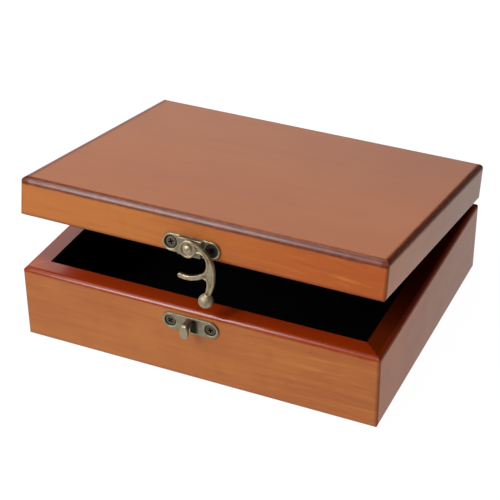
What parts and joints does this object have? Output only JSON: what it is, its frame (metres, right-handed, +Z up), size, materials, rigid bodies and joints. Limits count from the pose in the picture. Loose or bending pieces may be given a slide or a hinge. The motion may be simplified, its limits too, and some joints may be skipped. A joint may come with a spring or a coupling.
{
  "type": "keepsake box",
  "caption": "Hinged wooden box with mitred sides, a black lining, and a swing hook that catches under a claw on the front.",
  "frame": {"origin": "on the table, under the middle of the base's underside", "axes": "+X to the right along the long side, +Y towards the hinges, +Z up; the clasp is on the -Y side"},
  "size_m": [0.2, 0.177, 0.0943],
  "materials": {
    "stained_wood": "satin",
    "bottom_board": "matt",
    "black_lining": "matt",
    "antique_brass": "antique",
    "hinge_brass": "antique",
    "screw_metal": "antique"
  },
  "bodies": {
    "base": {"base_back_lining": "black_lining", "base_back_wall": "stained_wood", "base_bottom_panel": "bottom_board", "base_floor_lining": "black_lining", "base_front_lining": "black_lining", "base_front_wall": "stained_wood", "base_hinge_screws": "screw_metal", "base_left_lining": "black_lining", "base_left_wall": "stained_wood", "base_right_lining": "black_lining", "base_right_wall": "stained_wood", "left_hinge_base_leaf": "hinge_brass", "left_hinge_pin": "hinge_brass", "right_hinge_base_leaf": "hinge_brass", "right_hinge_pin": "hinge_brass", "strike_plate": "antique_brass", "strike_plate_screws": "screw_metal"},
    "lid": {"latch_plate": "antique_brass", "latch_plate_screws": "screw_metal", "latch_rivet": "antique_brass", "left_hinge_lid_leaf": "hinge_brass", "lid_back_lining": "black_lining", "lid_back_wall": "stained_wood", "lid_front_lining": "black_lining", "lid_front_wall": "stained_wood", "lid_hinge_screws": "screw_metal", "lid_left_lining": "black_lining", "lid_left_wall": "stained_wood", "lid_right_lining": "black_lining", "lid_right_wall": "stained_wood", "lid_top_lining": "black_lining", "lid_top_panel": "stained_wood", "right_hinge_lid_leaf": "hinge_brass"},
    "hook": {"latch_hook": "antique_brass"}
  },
  "joints": [
    {"name": "lid_hinge", "type": "hinge", "parent": "base", "child": "lid", "pos_m": [0, 0.0824, 0.0438], "axis": [-1, 0, 0], "range_deg": [-10.8, 95]},
    {"name": "hook_swing", "type": "hinge", "parent": "lid", "child": "hook", "pos_m": [-0.0015, -0.07619, 0.07938], "axis": [0, -0.9839, 0.1788], "range_deg": [-35, 260]}
  ]
}
